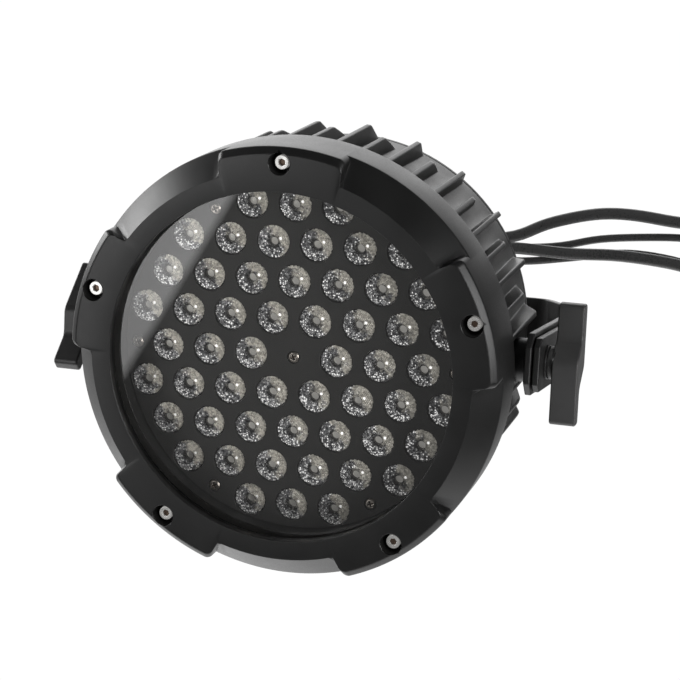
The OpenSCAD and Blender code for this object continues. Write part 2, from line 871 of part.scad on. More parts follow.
module clamp_washer_left() {
    color([0.12, 0.12, 0.12]) scale([-1, 1, 1]) clamp_washer();
}

module clamp_washer_right() {
    color([0.12, 0.12, 0.12]) clamp_washer();
}

// Half of the S-shaped wing outline, as corners and their radii; the rest is its half turn
wing_corners = [
    [[1.3, wing_reach], 3], [[11, wing_reach], 3], [[11, -3], 8], [[-1.3, -15], 8]
];

function knob_outline() =
    let (c = concat(wing_corners, [for (k = wing_corners) [-k[0], k[1]]]), n = len(c))
    [for (i = [0:n - 1])
        each round_corner(c[(i + n - 1) % n][0], c[i][0], c[(i + 1) % n][0], c[i][1])];

// S-shaped knob on the tilt axis, wings turned by the given angle
module knob(turn) {
    difference() {
        union() {
            along_x() rod(knob_x, wing_x + 1, knob_neck_r);
            translate([wing_x, 0, 0]) rotate([turn, 0, 0]) rotate([90, 0, 90])
                linear_extrude(height = wing_t) polygon(knob_outline());
        }
        along_x() rod(knob_x - 1, wing_x + 10, stud_r);
    }
}

module knob_left() {
    color([0.1, 0.1, 0.1]) rotate([0, 0, 180]) knob(left_knob_turn);
}

module knob_right() {
    color([0.1, 0.1, 0.1]) knob(-right_knob_turn);
}

module knob_stud() {
    along_x() rod(119, wing_x + 9.5, stud_r);
}

module knob_stud_left() {
    color([0.7, 0.7, 0.7]) scale([-1, 1, 1]) knob_stud();
}

module knob_stud_right() {
    color([0.7, 0.7, 0.7]) knob_stud();
}

front_bezel();
bezel_screws();
glass_gasket();
front_glass();
lens_plate();
lens_plate_screws();
collimator_lenses();
led_board();
led_emitters();
thermal_pad();
housing();
rear_seal();
rear_cover();
rear_cover_screws();
control_panel();
display_window();
display_module();
button_menu();
button_up();
button_down();
button_enter();
control_board();
power_supply();
driver_board();
board_standoffs();
led_leads();
gland_bodies();
gland_locknuts();
gland_seals();
gland_nuts();
power_in_cable();
power_out_cable();
signal_in_cable();
signal_out_cable();
power_in_plug();
power_out_socket();
signal_in_plug();
signal_out_socket();
power_in_ring();
power_out_ring();
signal_in_ring();
signal_out_ring();
connector_pins();
vent_plug();
safety_eye();
friction_washers();
spacer_washers();
stand_yoke();
hanging_yoke();
clamp_washer_left();
clamp_washer_right();
knob_left();
knob_right();
knob_stud_left();
knob_stud_right();
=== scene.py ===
import json
import math

import bmesh
import bpy
from mathutils import Matrix, Vector, geometry


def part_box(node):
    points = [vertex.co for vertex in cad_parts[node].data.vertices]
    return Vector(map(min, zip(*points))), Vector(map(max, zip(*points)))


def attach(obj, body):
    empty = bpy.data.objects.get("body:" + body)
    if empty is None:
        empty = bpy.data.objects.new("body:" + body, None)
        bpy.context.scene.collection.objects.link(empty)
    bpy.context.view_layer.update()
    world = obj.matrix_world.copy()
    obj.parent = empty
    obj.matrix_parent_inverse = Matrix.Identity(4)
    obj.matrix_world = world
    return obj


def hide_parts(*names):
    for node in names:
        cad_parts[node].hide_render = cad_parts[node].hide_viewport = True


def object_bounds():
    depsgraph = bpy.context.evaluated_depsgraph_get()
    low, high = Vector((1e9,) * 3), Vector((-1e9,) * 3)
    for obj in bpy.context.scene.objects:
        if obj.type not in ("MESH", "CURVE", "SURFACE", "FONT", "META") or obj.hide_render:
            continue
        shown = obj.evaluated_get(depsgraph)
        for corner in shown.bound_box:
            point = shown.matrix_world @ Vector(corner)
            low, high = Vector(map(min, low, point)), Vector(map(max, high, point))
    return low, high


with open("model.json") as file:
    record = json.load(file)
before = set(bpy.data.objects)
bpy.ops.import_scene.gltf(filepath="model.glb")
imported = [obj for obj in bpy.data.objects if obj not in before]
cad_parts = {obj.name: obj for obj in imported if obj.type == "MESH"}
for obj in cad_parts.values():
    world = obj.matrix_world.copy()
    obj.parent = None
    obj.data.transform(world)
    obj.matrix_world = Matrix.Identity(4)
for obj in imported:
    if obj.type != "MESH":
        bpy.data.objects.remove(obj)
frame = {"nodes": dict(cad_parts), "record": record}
cad_low, cad_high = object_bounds()

# Looks of a finned LED par can light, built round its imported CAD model. Sizes are in millimetres
# and become metres in place(). In the beam frame a point is (x to the right, y up, h forward).

MM = 0.001
NODES = frame["nodes"]
BODY_OF = {n: b for b, members in frame["record"]["behaviour"]["bodies"].items() for n in members}
SLOT_OF = {s["node"]: s["material_slot"] for s in frame["record"]["subparts"]}


def extent(node):
    """Lowest and highest corner of a CAD node in millimetres."""
    low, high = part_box(node)
    return low / MM, high / MM


# ---- Sizes read from the frame, and radii and angles of the CAD model ----

bezel_low, bezel_high = extent("front_bezel")
BEZEL_R = bezel_high.z
FACE = -bezel_low.y
BEZEL_REAR = -bezel_high.y
WINDOW_R = 107.8
glass_low, glass_high = extent("front_glass")
GLASS_R = glass_high.z
GLASS_FRONT = -glass_low.y
GLASS_BACK = -glass_high.y
housing_low, housing_high = extent("housing")
HOUSING_REAR = -housing_high.y
FLANGE_FRONT = -housing_low.y
BOSS_X = housing_high.x
GASKET_FRONT = -extent("glass_gasket")[0].y
lens_low, lens_high = extent("collimator_lenses")
LENS_FACE = -lens_low.y
LENS_REAR = -lens_high.y

LENS_PITCH = 27.3
LENS_R = 10.3
SECTORS = 5
SCREW_R = 124.6
SCREW_FIRST = 18
NOTCH_FIRST = 54
NOTCH_HALF = 18.6
FIN_R = housing_high.z
FIN_COUNT = 48
WALL_FRONT_R = 121.5
WALL_REAR_R = 118
PLATE_SCREW_R = 102.0

# Lens front: hexagonal lattice of beads round a flat-floored well
BEAD_PITCH = 1.25
BEAD_HEIGHT = 0.36
BEAD_BASE = LENS_FACE - BEAD_HEIGHT - 0.05
WELL_R = 2.75
WELL_FLOOR = 41.6

# ---- Materials ----


class Graph:
    """Small helper that adds shader nodes and links them."""

    def __init__(self, name):
        self.material = bpy.data.materials.new(name)
        self.material.use_nodes = True
        self.nodes = self.material.node_tree.nodes
        self.links = self.material.node_tree.links
        self.nodes.clear()
        self.output = self.nodes.new("ShaderNodeOutputMaterial")

    def add(self, kind, settings=None, **inputs):
        node = self.nodes.new("ShaderNode" + kind)
        for key, value in (settings or {}).items():
            setattr(node, key, value)
        for key, value in inputs.items():
            self.feed(node, key.replace("_", " "), value)
        return node

    def feed(self, node, key, value):
        socket = node.inputs[int(key)] if key.isdigit() else node.inputs[key]
        if isinstance(value, bpy.types.NodeSocket):
            self.links.new(value, socket)
        else:
            socket.default_value = value

    def surface(self, socket):
        self.links.new(socket, self.output.inputs["Surface"])

    def noise(self, scale, detail=3.0, where=None):
        where = where or self.add("TexCoord").outputs["Object"]
        return self.add("TexNoise", Vector=where, Scale=scale, Detail=detail).outputs["Fac"]

    def ramp(self, value, low, high, to_low=0.0, to_high=1.0):
        node = self.add("MapRange", Value=value)
        for key, number in zip((1, 2, 3, 4), (low, high, to_low, to_high)):
            node.inputs[key].default_value = number
        return node.outputs[0]

    def math(self, operation, a, b):
        node = self.add("Math", {"operation": operation})
        self.feed(node, "0", a)
        self.feed(node, "1", b)
        return node.outputs[0]

    def mix(self, share, a, b):
        node = self.add("Mix", {"data_type": "RGBA"})
        self.feed(node, "0", share)
        self.feed(node, "6", a)
        self.feed(node, "7", b)
        return node.outputs[2]

    def edges(self, radius):
        """Softened normal, and a mask of how near a sharp edge a point is."""
        soft = self.add("Bevel", {"samples": 4}, Radius=radius * MM).outputs[0]
        flat = self.add("NewGeometry").outputs["True Normal"]
        dot = self.add("VectorMath", {"operation": "DOT_PRODUCT"})
        self.feed(dot, "0", soft)
        self.feed(dot, "1", flat)
        return soft, self.ramp(dot.outputs["Value"], 0.995, 0.9)


def grey(level, alpha=1.0):
    return (level, level, level, alpha)


def tint(colour):
    return (*colour, 1.0)


def coating(name, dark, light, rough, grain, depth, wear=0.0, worn=grey(0.2), metal=0.0, edge=0.5):
    """Coloured surface with broad mottling, fine grain in bump and roughness, rubbed edges, and painted
    shade, near black and with little reflection, in the recesses the mesh marks."""
    g = Graph(name)
    broad = g.ramp(g.noise(38.0, 4.0), 0.3, 0.7)
    fine = g.noise(grain, 2.0)
    colour = g.mix(broad, dark, light)
    soft, near_edge = g.edges(edge)
    patchy = g.ramp(g.noise(160.0, 3.0), 0.42, 0.62)
    rubbed = g.math("MULTIPLY", g.math("MULTIPLY", near_edge, patchy), wear)
    bump = g.add("Bump", Strength=1.0, Distance=depth * MM, Height=fine, Normal=soft)
    shade = g.add("BsdfPrincipled", Metallic=metal)
    # Painted shade: the marked recesses are drawn near black and their reflection is turned down.
    recess = g.ramp(g.add("Attribute", {"attribute_name": "recess"}).outputs["Fac"], 0.3, 0.7)
    g.feed(shade, "Base Color", g.mix(recess, g.mix(rubbed, colour, worn), grey(0.006)))
    g.feed(shade, "Specular IOR Level", g.ramp(recess, 0.0, 1.0, 0.5, 0.12))
    speckle = g.math("ADD", g.ramp(fine, 0.3, 0.7, rough - 0.05, rough + 0.05),
                     g.ramp(broad, 0.0, 1.0, -0.03, 0.03))
    g.feed(shade, "Roughness", g.math("SUBTRACT", speckle, g.math("MULTIPLY", rubbed, 0.12)))
    g.feed(shade, "Normal", bump.outputs[0])
    g.surface(shade.outputs[0])
    return g.material


def brushed(name, colour, rough, scale, depth, lift=0.0):
    """Bare metal with fine turning marks and slight staining; lift stands in for stray light."""
    g = Graph(name)
    where = g.add("TexCoord").outputs["Object"]
    lines = g.add("Mapping", Vector=where)
    lines.inputs["Scale"].default_value = (1.0, 9.0, 1.0)
    streaks = g.noise(scale, 3.0, lines.outputs[0])
    stain = g.ramp(g.noise(220.0, 3.0), 0.35, 0.7)
    soft, near_edge = g.edges(0.25)
    darker = tuple(c * 0.72 for c in colour[:3]) + (1.0,)
    brighter = tuple(min(1.0, c * 1.25) for c in colour[:3]) + (1.0,)
    shade = g.add("BsdfPrincipled", Metallic=1.0)
    # Painted shade: marked recesses, such as screw sockets, are drawn dark brown.
    recess = g.ramp(g.add("Attribute", {"attribute_name": "recess"}).outputs["Fac"], 0.3, 0.7)
    outer = g.mix(near_edge, g.mix(stain, colour, darker), brighter)
    colour = g.mix(recess, outer, (0.09, 0.065, 0.05, 1.0))
    g.feed(shade, "Base Color", colour)
    g.feed(shade, "Emission Color", colour)
    g.feed(shade, "Emission Strength", lift)
    g.feed(shade, "Roughness", g.ramp(streaks, 0.3, 0.7, rough - 0.06, rough + 0.08))
    bump = g.add("Bump", Strength=1.0, Distance=depth * MM, Height=streaks, Normal=soft)
    g.feed(shade, "Normal", bump.outputs[0])
    g.surface(shade.outputs[0])
    return g.material


def window_glass():
    """Clear front glass: see-through, with a mirror reflection that grows to the rim and faint dust."""
    g = Graph("clear_glass")
    clear = g.add("BsdfTransparent", Color=(0.965, 0.962, 0.955, 1.0))
    dust = g.ramp(g.noise(300.0, 6.0), 0.55, 0.8, 0.0, 0.012)
    mirror = g.add("BsdfGlossy", Color=(1.0, 1.0, 1.0, 1.0), Roughness=0.015)
    haze = g.add("BsdfDiffuse", Color=(0.8, 0.8, 0.8, 1.0))
    fresnel = g.add("Fresnel", IOR=1.5)
    from_inside = g.add("NewGeometry").outputs["Backfacing"]
    both_faces = g.math("MULTIPLY", fresnel.outputs[0], 1.9)
    share = g.math("MULTIPLY", both_faces, g.math("SUBTRACT", 1.0, from_inside))
    dusty = g.add("MixShader", **{"0": dust, "1": clear.outputs[0], "2": haze.outputs[0]})
    whole = g.add("MixShader", **{"0": share, "1": dusty.outputs[0], "2": mirror.outputs[0]})
    g.surface(whole.outputs[0])
    return g.material


def painted_light_acrylic():
    """Collimator lens with its light painted on: each bead a light or dark piece of a painted reflection
    of the bowl behind it, painted lighter and warmer towards the upper right, painted glints on beads
    towards the bottom, a painted highlight up and right of the middle, painted shade round the well, on
    its wall and at the rim, a painted light floor in the well, and a painted glow in emission that fades
    on the lenses far from a point up and right of the middle as painted shadow."""
    g = Graph("lens_acrylic")
    place = g.add("Attribute", {"attribute_name": "local"}).outputs["Vector"]
    local = g.add("SeparateXYZ", Vector=place)
    across, on_front, up = local.outputs[0], local.outputs[1], local.outputs[2]
    middle = g.math("ADD", g.math("MULTIPLY", across, across), g.math("MULTIPLY", up, up))
    where = g.add("TexCoord").outputs["Object"]

    # Painted reflection: each lens is drawn lighter and warmer towards the upper right, as the lit bowl
    # seen through it.
    upper_right = g.math("ADD", g.math("MULTIPLY", across, 0.85), g.math("MULTIPLY", up, 0.53))
    wobble = g.ramp(g.noise(260.0, 2.0, where), 0.3, 0.7, -0.3, 0.3)
    pale = g.ramp(g.math("ADD", upper_right, wobble), 0.0, 0.42)
    # Painted glints: random beads, more of them towards the bottom, are drawn white as highlights; the
    # other beads get random dark or grey tones as bits of painted reflection.
    downward = g.math("ADD", g.math("MULTIPLY", across, -0.42), g.math("MULTIPLY", up, -0.91))
    painted_glint_share = g.ramp(g.math("ADD", downward, wobble), 0.2, 0.75)

    beads = g.add("TexVoronoi", Vector=where, Scale=1.15 / (BEAD_PITCH * MM), Randomness=0.85)
    chance = g.add("SeparateColor", Color=beads.outputs["Color"]).outputs[0]
    dot = g.ramp(beads.outputs["Distance"], 0.55, 0.25)
    painted_glint_pick = g.ramp(g.math("ADD", chance, g.math("MULTIPLY", painted_glint_share, 0.45)), 0.5, 0.9)
    painted_glint = g.math("MULTIPLY", dot, painted_glint_pick)
    speckle = g.mix(chance, (0.04, 0.041, 0.046, 1.0), (0.42, 0.425, 0.44, 1.0))
    speckle = g.mix(painted_glint, speckle, grey(1.0))
    painted_reflection_tone = g.mix(chance, (0.42, 0.4, 0.355, 1.0), (1.0, 0.965, 0.88, 1.0))
    # Painted shade: a dark ring round the well.
    painted_well_shade = g.ramp(middle, 0.12, 0.24, 0.8, 0.0)
    speckle = g.mix(painted_well_shade, speckle, grey(0.02))
    front = g.mix(pale, speckle, painted_reflection_tone)

    # Painted highlight: a white patch up and right of each lens's middle.
    off = g.add("VectorMath", {"operation": "DISTANCE"})
    g.feed(off, "0", place)
    g.feed(off, "1", g.add("CombineXYZ", X=0.42, Y=1.0, Z=0.2).outputs[0])
    painted_hot_spot = g.ramp(off.outputs["Value"], 0.11, 0.06)
    front = g.mix(painted_hot_spot, front, grey(1.0))
    depth = g.add("SeparateXYZ", Vector=where).outputs[1]
    in_well = g.ramp(depth, (BEAD_BASE - 0.1) * -MM, (BEAD_BASE - 0.5) * -MM)
    on_floor = g.ramp(depth, (WELL_FLOOR + 0.3) * -MM, (WELL_FLOOR + 0.15) * -MM)
    # Painted shade and light in the well: its wall drawn near black, its floor drawn light.
    well = g.mix(on_floor, grey(0.03), (0.9, 0.88, 0.84, 1.0))
    # Painted shade: the rim and the sides of each lens are drawn near black.
    outside_painted_rim_shade = g.math("MULTIPLY", g.ramp(middle, 0.9, 0.98, 1.0, 0.3),
                         g.ramp(on_front, 0.4, 0.9, 0.1, 1.0))
    front = g.mix(outside_painted_rim_shade, grey(0.01), front)
    colour = g.mix(in_well, front, well)

    # Painted glow: the lens colour is given as emission, strongest on the painted glints and the
    # highlight patch, faint elsewhere and on the well floor; it fades on the lenses far from a point up
    # and right of the middle as painted shadow.
    outside = g.math("SUBTRACT", 1.0, in_well)
    painted_bright_bead = g.math("MULTIPLY", g.math("SUBTRACT", 1.0, pale), painted_glint)
    painted_bright_bead = g.math("MULTIPLY", painted_bright_bead, g.math("SUBTRACT", 1.0, painted_well_shade))
    glow = g.math("MAXIMUM", g.math("MULTIPLY", painted_bright_bead, 0.75), g.math("MULTIPLY", painted_hot_spot, 0.9))
    glow = g.math("MULTIPLY", outside, g.math("ADD", glow, 0.17))
    painted_floor_glow = g.math("MULTIPLY", g.math("MULTIPLY", in_well, on_floor), 0.2)
    shade = g.add("BsdfPrincipled", Metallic=0.15)
    g.feed(shade, "Base Color", colour)
    g.feed(shade, "Emission Color", colour)
    painted_shadow_reach = g.add("VectorMath", {"operation": "DISTANCE"})
    g.feed(painted_shadow_reach, "0", where)
    g.feed(painted_shadow_reach, "1", g.add("CombineXYZ", X=0.015, Y=-0.045, Z=0.025).outputs[0])
    g.feed(shade, "Emission Strength", g.math(
        "MULTIPLY", g.math("ADD", glow, painted_floor_glow),
        g.ramp(painted_shadow_reach.outputs["Value"], 0.09, 0.125, 1.0, 0.3)))
    g.feed(shade, "Roughness", g.ramp(chance, 0.0, 1.0, 0.26, 0.12))
    g.surface(shade.outputs[0])
    return g.material


# Coatings: dark and light tone, roughness, grain scale and depth, then wear, worn tone and metal.
# Bare metals: tone, roughness, scale and depth of the turning marks.
MATERIALS = {
    "cast_black": coating("cast_black", grey(0.014), grey(0.018), 0.36, 1500.0, 0.01,
                          0.5, grey(0.12)),
    "powder_coat": coating("powder_coat", grey(0.022), grey(0.03), 0.36, 1300.0, 0.012,
                           0.6, grey(0.16)),
    "black_nylon": coating("black_nylon", grey(0.08), grey(0.1), 0.4, 1900.0, 0.016,
                           0.3, grey(0.1)),
    "matte_black": coating("matte_black", grey(0.04), grey(0.048), 0.5, 2200.0, 0.008),
    "seal_rubber": coating("seal_rubber", grey(0.014), grey(0.02), 0.6, 900.0, 0.01),
    "cable_rubber": coating("cable_rubber", grey(0.075), grey(0.09), 0.3, 700.0, 0.006,
                            edge=0.2),
    "black_steel": coating("black_steel", grey(0.03), grey(0.05), 0.35, 1100.0, 0.006,
                           0.7, grey(0.3), 0.4),
    "gloss_black": coating("gloss_black", grey(0.012), grey(0.016), 0.22, 600.0, 0.003),
    "smoked_window": coating("smoked_window", tint((0.03, 0.006, 0.006)),
                             tint((0.045, 0.008, 0.008)), 0.1, 300.0, 0.001),
    "button_grey": coating("button_grey", grey(0.16), grey(0.2), 0.5, 1500.0, 0.01,
                           0.4, grey(0.4)),
    "green_board": coating("green_board", tint((0.02, 0.13, 0.05)), tint((0.04, 0.2, 0.08)),
                           0.4, 500.0, 0.01),
    "white_board": coating("white_board", grey(0.7), grey(0.8), 0.45, 500.0, 0.004),
    "thermal_silicone": coating("thermal_silicone", tint((0.35, 0.37, 0.45)),
                                tint((0.42, 0.44, 0.52)), 0.6, 800.0, 0.01),
    "led_phosphor": coating("led_phosphor", tint((0.8, 0.72, 0.35)), tint((0.86, 0.8, 0.5)),
                            0.2, 900.0, 0.003),
    "red_lead": coating("red_lead", tint((0.32, 0.02, 0.02)), tint((0.42, 0.03, 0.03)),
                        0.4, 400.0, 0.01),
    "stainless": brushed("stainless", (0.72, 0.71, 0.69, 1.0), 0.24, 900.0, 0.003, 0.25),
    "plated_screw": brushed("plated_screw", (0.5, 0.46, 0.42, 1.0), 0.3, 900.0, 0.004),
    "bare_aluminium": brushed("bare_aluminium", (0.62, 0.62, 0.64, 1.0), 0.35, 500.0, 0.004),
    "brass_standoff": brushed("brass_standoff", (0.72, 0.55, 0.26, 1.0), 0.28, 700.0, 0.003),
    "clear_glass": window_glass(),
    "lens_acrylic": painted_light_acrylic(),
}

# ---- Mesh helpers ----


def beam(x, y, h):
    """Point of the beam frame in the shared frame, in metres."""
    return Vector((x, -h, y)) * MM


def along_x(x, y, h):
    """Local point (x, y, h) turned so that h runs along +X, in metres."""
    return Vector((h, x, y)) * MM


def blend(a, b, share):
    """a where share is 0, b where it is 1."""
    return a + (b - a) * share


def soft_clamp(x, ease):
    """x held between 0 and 1, with its two corners eased over +-ease."""
    if x <= -ease:
        return 0.0
    if x < ease:
        return (x + ease) ** 2 / (4 * ease)
    if x <= 1 - ease:
        return x
    if x < 1 + ease:
        return 1 - (1 + ease - x) ** 2 / (4 * ease)
    return 1.0


def rounded(corners, steps=4, closed=True):
    """Outline through (a, b, radius) corners, each rounded by an arc where its radius isn't 0."""
    points = []
    count = len(corners)
    for i, (a, b, radius) in enumerate(corners):
        ends = not closed and i in (0, count - 1)
        if radius == 0 or ends:
            points.append((a, b))
            continue
        corner = Vector((a, b))
        before = Vector(corners[i - 1][:2]) - corner
        after = Vector(corners[(i + 1) % count][:2]) - corner
        reach = min(radius, before.length * 0.45, after.length * 0.45)
        start = corner + before.normalized() * reach
        end = corner + after.normalized() * reach
        for s in range(steps + 1):
            t = s / steps
            p = start * (1 - t) ** 2 + corner * 2 * t * (1 - t) + end * t ** 2
            points.append((p.x, p.y))
    return points


def finish_mesh(name, bm):
    """Welds, orients and smooths a bmesh, and returns it as a mesh."""
    bmesh.ops.remove_doubles(bm, verts=bm.verts, dist=2e-7)
    bmesh.ops.recalc_face_normals(bm, faces=bm.faces)
    mesh = bpy.data.meshes.new(name)
    bm.to_mesh(mesh)
    bm.free()
    mesh.shade_smooth()
    return mesh


def add_swept(bm, angles, sections, place, closed=True):
    """Surface round the local h axis through one (r, h) section per angle, all of equal length."""
    rings = []
    for angle, section in zip(angles, sections):
        c, s = math.cos(math.radians(angle)), math.sin(math.radians(angle))
        rings.append([bm.verts.new(place(r * c, r * s, h)) for r, h in section])
    spans = len(sections[0]) if closed else len(sections[0]) - 1
    for i, ring in enumerate(rings):
        other = rings[(i + 1) % len(rings)]
        for j in range(spans):
            k = (j + 1) % len(ring)
            bm.faces.new((ring[j], ring[k], other[k], other[j]))


def add_turned(bm, section, place, sides=96, closed=True):
    """Surface of revolution of one (r, h) section."""
    angles = [i * 360 / sides for i in range(sides)]
    add_swept(bm, angles, [section] * sides, place, closed)


def moved(place, x, y):
    """place() for a shape whose axis stands at (x, y)."""
    return lambda a, b, h: place(a + x, b + y, h)


def piece(node, mesh, name=None, sharp=None):
    """New object that stands for a CAD node, riding on its body with its slot's material."""
    obj = bpy.data.objects.new(name or node + "_look", mesh)
    bpy.context.scene.collection.objects.link(obj)
    mesh.materials.clear()
    mesh.materials.append(MATERIALS[SLOT_OF[node]])
    if sharp:
        mesh.set_sharp_from_angle(angle=math.radians(sharp))
    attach(obj, BODY_OF[node])
    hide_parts(node)
    return obj


def carved(mesh, cutter_bm):
    """mesh with the cutter's volume taken out."""
    target = bpy.data.objects.new("target", mesh)
    cutter = bpy.data.objects.new("cutter", finish_mesh("cutter", cutter_bm))
    for o in (target, cutter):
        bpy.context.scene.collection.objects.link(o)
    cut = target.modifiers.new("cut", "BOOLEAN")
    cut.operation = "DIFFERENCE"
    cut.solver = "EXACT"
    cut.object = cutter
    bpy.context.view_layer.update()
    result = bpy.data.meshes.new_from_object(target.evaluated_get(bpy.context.evaluated_depsgraph_get()))
    for o in (target, cutter):
        bpy.data.objects.remove(o)
    return result


def mark(mesh, inside):
    """Marks the vertices inside a hollow, which the material draws with painted shade; inside() takes
    beam-frame x, y, h.
    """
    recess = mesh.attributes.new("recess", "FLOAT", "POINT")
    for v in mesh.vertices:
        unlit = inside(v.co.x / MM, v.co.z / MM, -v.co.y / MM)
        recess.data[v.index].value = 1.0 if unlit else 0.0


def ring_axes(count, r, first):
    """Points of count axes on a circle, the first at an angle in degrees."""
    angles = [math.radians(first + i * 360 / count) for i in range(count)]
    return [(r * math.cos(a), r * math.sin(a)) for a in angles]


def nearest(axes, x, y):
    """Distance from (x, y) to the nearest of the axes."""
    return min(math.hypot(x - a, y - b) for a, b in axes)


# ---- Bezel ----

SECTOR = 360 / SECTORS
BEZEL_SCREWS = ring_axes(SECTORS, SCREW_R, SCREW_FIRST)
SCREW_HOLE_R = 2.7
SCREW_SEAT = 67
COUNTERBORE_R = 6.5
LEDGE = FACE - 7.0
LEDGE_R = 109.2
GASKET_SEAT_R = 117.0
SKIRT_R = 129.0
SKIRT_TOP = 60.0
CHAMFER_W = 4.0
CHAMFER_H = 3.6
NOTCH_DROP = 17.0
NOTCH_INNER_R = 119.5
CORNER_R = 4.8
# Width over which a notch's end wall runs out, and the straight first part of it
WALL_RUN = 2.6
WALL_START = 0.35


def bezel_section(cut):
    """Closed section of the bezel with its rim cut back by cut millimetres to the notch floor."""
    side = BEZEL_R - cut
    floor = FACE - NOTCH_DROP * (1 - cut / (BEZEL_R - NOTCH_INNER_R))
    top = max(FACE - CHAMFER_H, floor)
    rim = max(side - CHAMFER_W, NOTCH_INNER_R - 0.02)
    return rounded([
        (WINDOW_R, FACE, 0.4), (rim, FACE, 1.0), (side, top, 1.0), (side, floor, 0.5),
        (BEZEL_R, FACE - NOTCH_DROP, 0.9), (BEZEL_R, BEZEL_REAR, 0.8), (SKIRT_R, BEZEL_REAR, 0.4),
        (SKIRT_R, SKIRT_TOP, 0), (GASKET_SEAT_R, SKIRT_TOP, 0), (GASKET_SEAT_R, GASKET_FRONT, 0),
        (LEDGE_R, GASKET_FRONT, 0), (LEDGE_R, LEDGE, 0.2), (WINDOW_R, LEDGE, 0.4),
    ])


def notch_cut(offset):
    """How far the rim is cut back, at an angle from the middle of a notch."""
    inward = (abs(offset) - NOTCH_HALF) * math.radians(BEZEL_R)
    if inward >= CORNER_R:
        return 0.0
    if inward >= 0:
        return CORNER_R - math.sqrt(CORNER_R ** 2 - (CORNER_R - inward) ** 2)
    share = -inward / WALL_RUN
    share = soft_clamp(share, 0.12) if inward < -WALL_START else share * 0.9
    return blend(CORNER_R, BEZEL_R - NOTCH_INNER_R, share)


def bezel_angles():
    """(angle, cut) round the bezel, with close steps across each notch's end walls."""
    offsets = []
    position = 0.0
    while position < SECTOR / 2:
        offsets.append(position)
        near_wall = NOTCH_HALF - 1.6 < position < NOTCH_HALF + 2.3
        position += 0.1 if near_wall else 1.2
    offsets = sorted({-o for o in offsets} | set(offsets))
    return [
        (NOTCH_FIRST + sector * SECTOR + offset, notch_cut(offset))
        for sector in range(SECTORS) for offset in offsets
    ]


def build_bezel():
    """Notched ring with a ledge for the glass, and its screw holes bored out."""
    bm = bmesh.new()
    stations = bezel_angles()
    add_swept(bm, [angle for angle, _ in stations], [bezel_section(cut) for _, cut in stations], beam)
    mesh = finish_mesh("bezel", bm)
    mouth = COUNTERBORE_R + 0.7
    cutter = bmesh.new()
    for x, y in BEZEL_SCREWS:
        add_turned(cutter, [(0, 45), (SCREW_HOLE_R, 45), (SCREW_HOLE_R, SCREW_SEAT),
                            (COUNTERBORE_R, SCREW_SEAT), (COUNTERBORE_R, FACE - 0.5),
                            (mouth, FACE + 0.2), (mouth, FACE + 2), (0, FACE + 2)],
                   moved(beam, x, y), 48, False)
    mesh = carved(mesh, cutter)
    mesh.shade_smooth()
    # Painted shade: the window's inner wall and the screw wells are marked to be drawn near black.
    mark(mesh, lambda x, y, h: h < FACE - 0.4 and (
        math.hypot(x, y) < WINDOW_R + 0.2 or nearest(BEZEL_SCREWS, x, y) < COUNTERBORE_R + 0.1))
    piece("front_bezel", mesh, sharp=38)


# ---- Housing ----

# Half of a fin's section: distance from its middle line, and share of the fin's height
FIN_HALF = [(2.9, 0.0), (2.5, 0.025), (2.3, 0.07), (2.25, 0.11), (1.72, 0.88), (1.66, 0.93),
            (1.42, 0.985), (0.95, 1.0)]
FIN_SECTION = FIN_HALF + [(0.0, 1.0)] + [(-s, f) for s, f in reversed(FIN_HALF)]
# Heights where a long and a short fin start to fall, and where they end
LONG_FIN = (-49.0, -72.0)
SHORT_FIN = (-25.0, -57.0)
FLANGE_R = 128.5
FLANGE_REAR = 29.5
PLATE_FRONT = 29
PLATE_REAR = 19
POCKET_R = 110
CAVITY_R = 113
BOSS_FOOT = 116
BOSS_R = 13.5
STUD_HOLE_R = 4.1
# Heights of the rings of the finned skin, close together where the fins slope
SKIN_HEIGHTS = [FLANGE_REAR, 20, 5, -8, -16, -20] + [-22 - 1.75 * i for i in range(30)] + [
    HOUSING_REAR + 1.0, HOUSING_REAR + 0.3]


def wall_r(h):
    """Radius of the wall between the fins, which narrows to the rear."""
    share = (FLANGE_REAR - h) / (FLANGE_REAR - HOUSING_REAR)
    return blend(WALL_FRONT_R, WALL_REAR_R, share)


def fin_lift(number, h):
    """Height of fin number above the wall, falling along its sloping rear end."""
    if number % (FIN_COUNT // 2) == 0:
        return 0.0
    shoulder, foot = LONG_FIN if number % 2 else SHORT_FIN
    return soft_clamp((h - foot) / (shoulder - foot), 0.07) * (FIN_R - wall_r(h))


def housing_section(number, share):
    """Section of the housing where fin number has a share of its height."""
    skin = [(wall_r(h) + share * fin_lift(number, h), h) for h in SKIN_HEIGHTS]
    skin.append((skin[-1][0] - 0.5, HOUSING_REAR))
    front = rounded([(0, PLATE_FRONT, 0), (POCKET_R, PLATE_FRONT, 0.3),
                     (POCKET_R, FLANGE_FRONT, 0.3), (FLANGE_R, FLANGE_FRONT, 0.4),
                     (FLANGE_R, FLANGE_REAR, 0.3), (WALL_FRONT_R, FLANGE_REAR, 0)], 2, False)[:-1]
    return front + skin + [(CAVITY_R, HOUSING_REAR), (CAVITY_R, PLATE_REAR), (0, PLATE_REAR)]


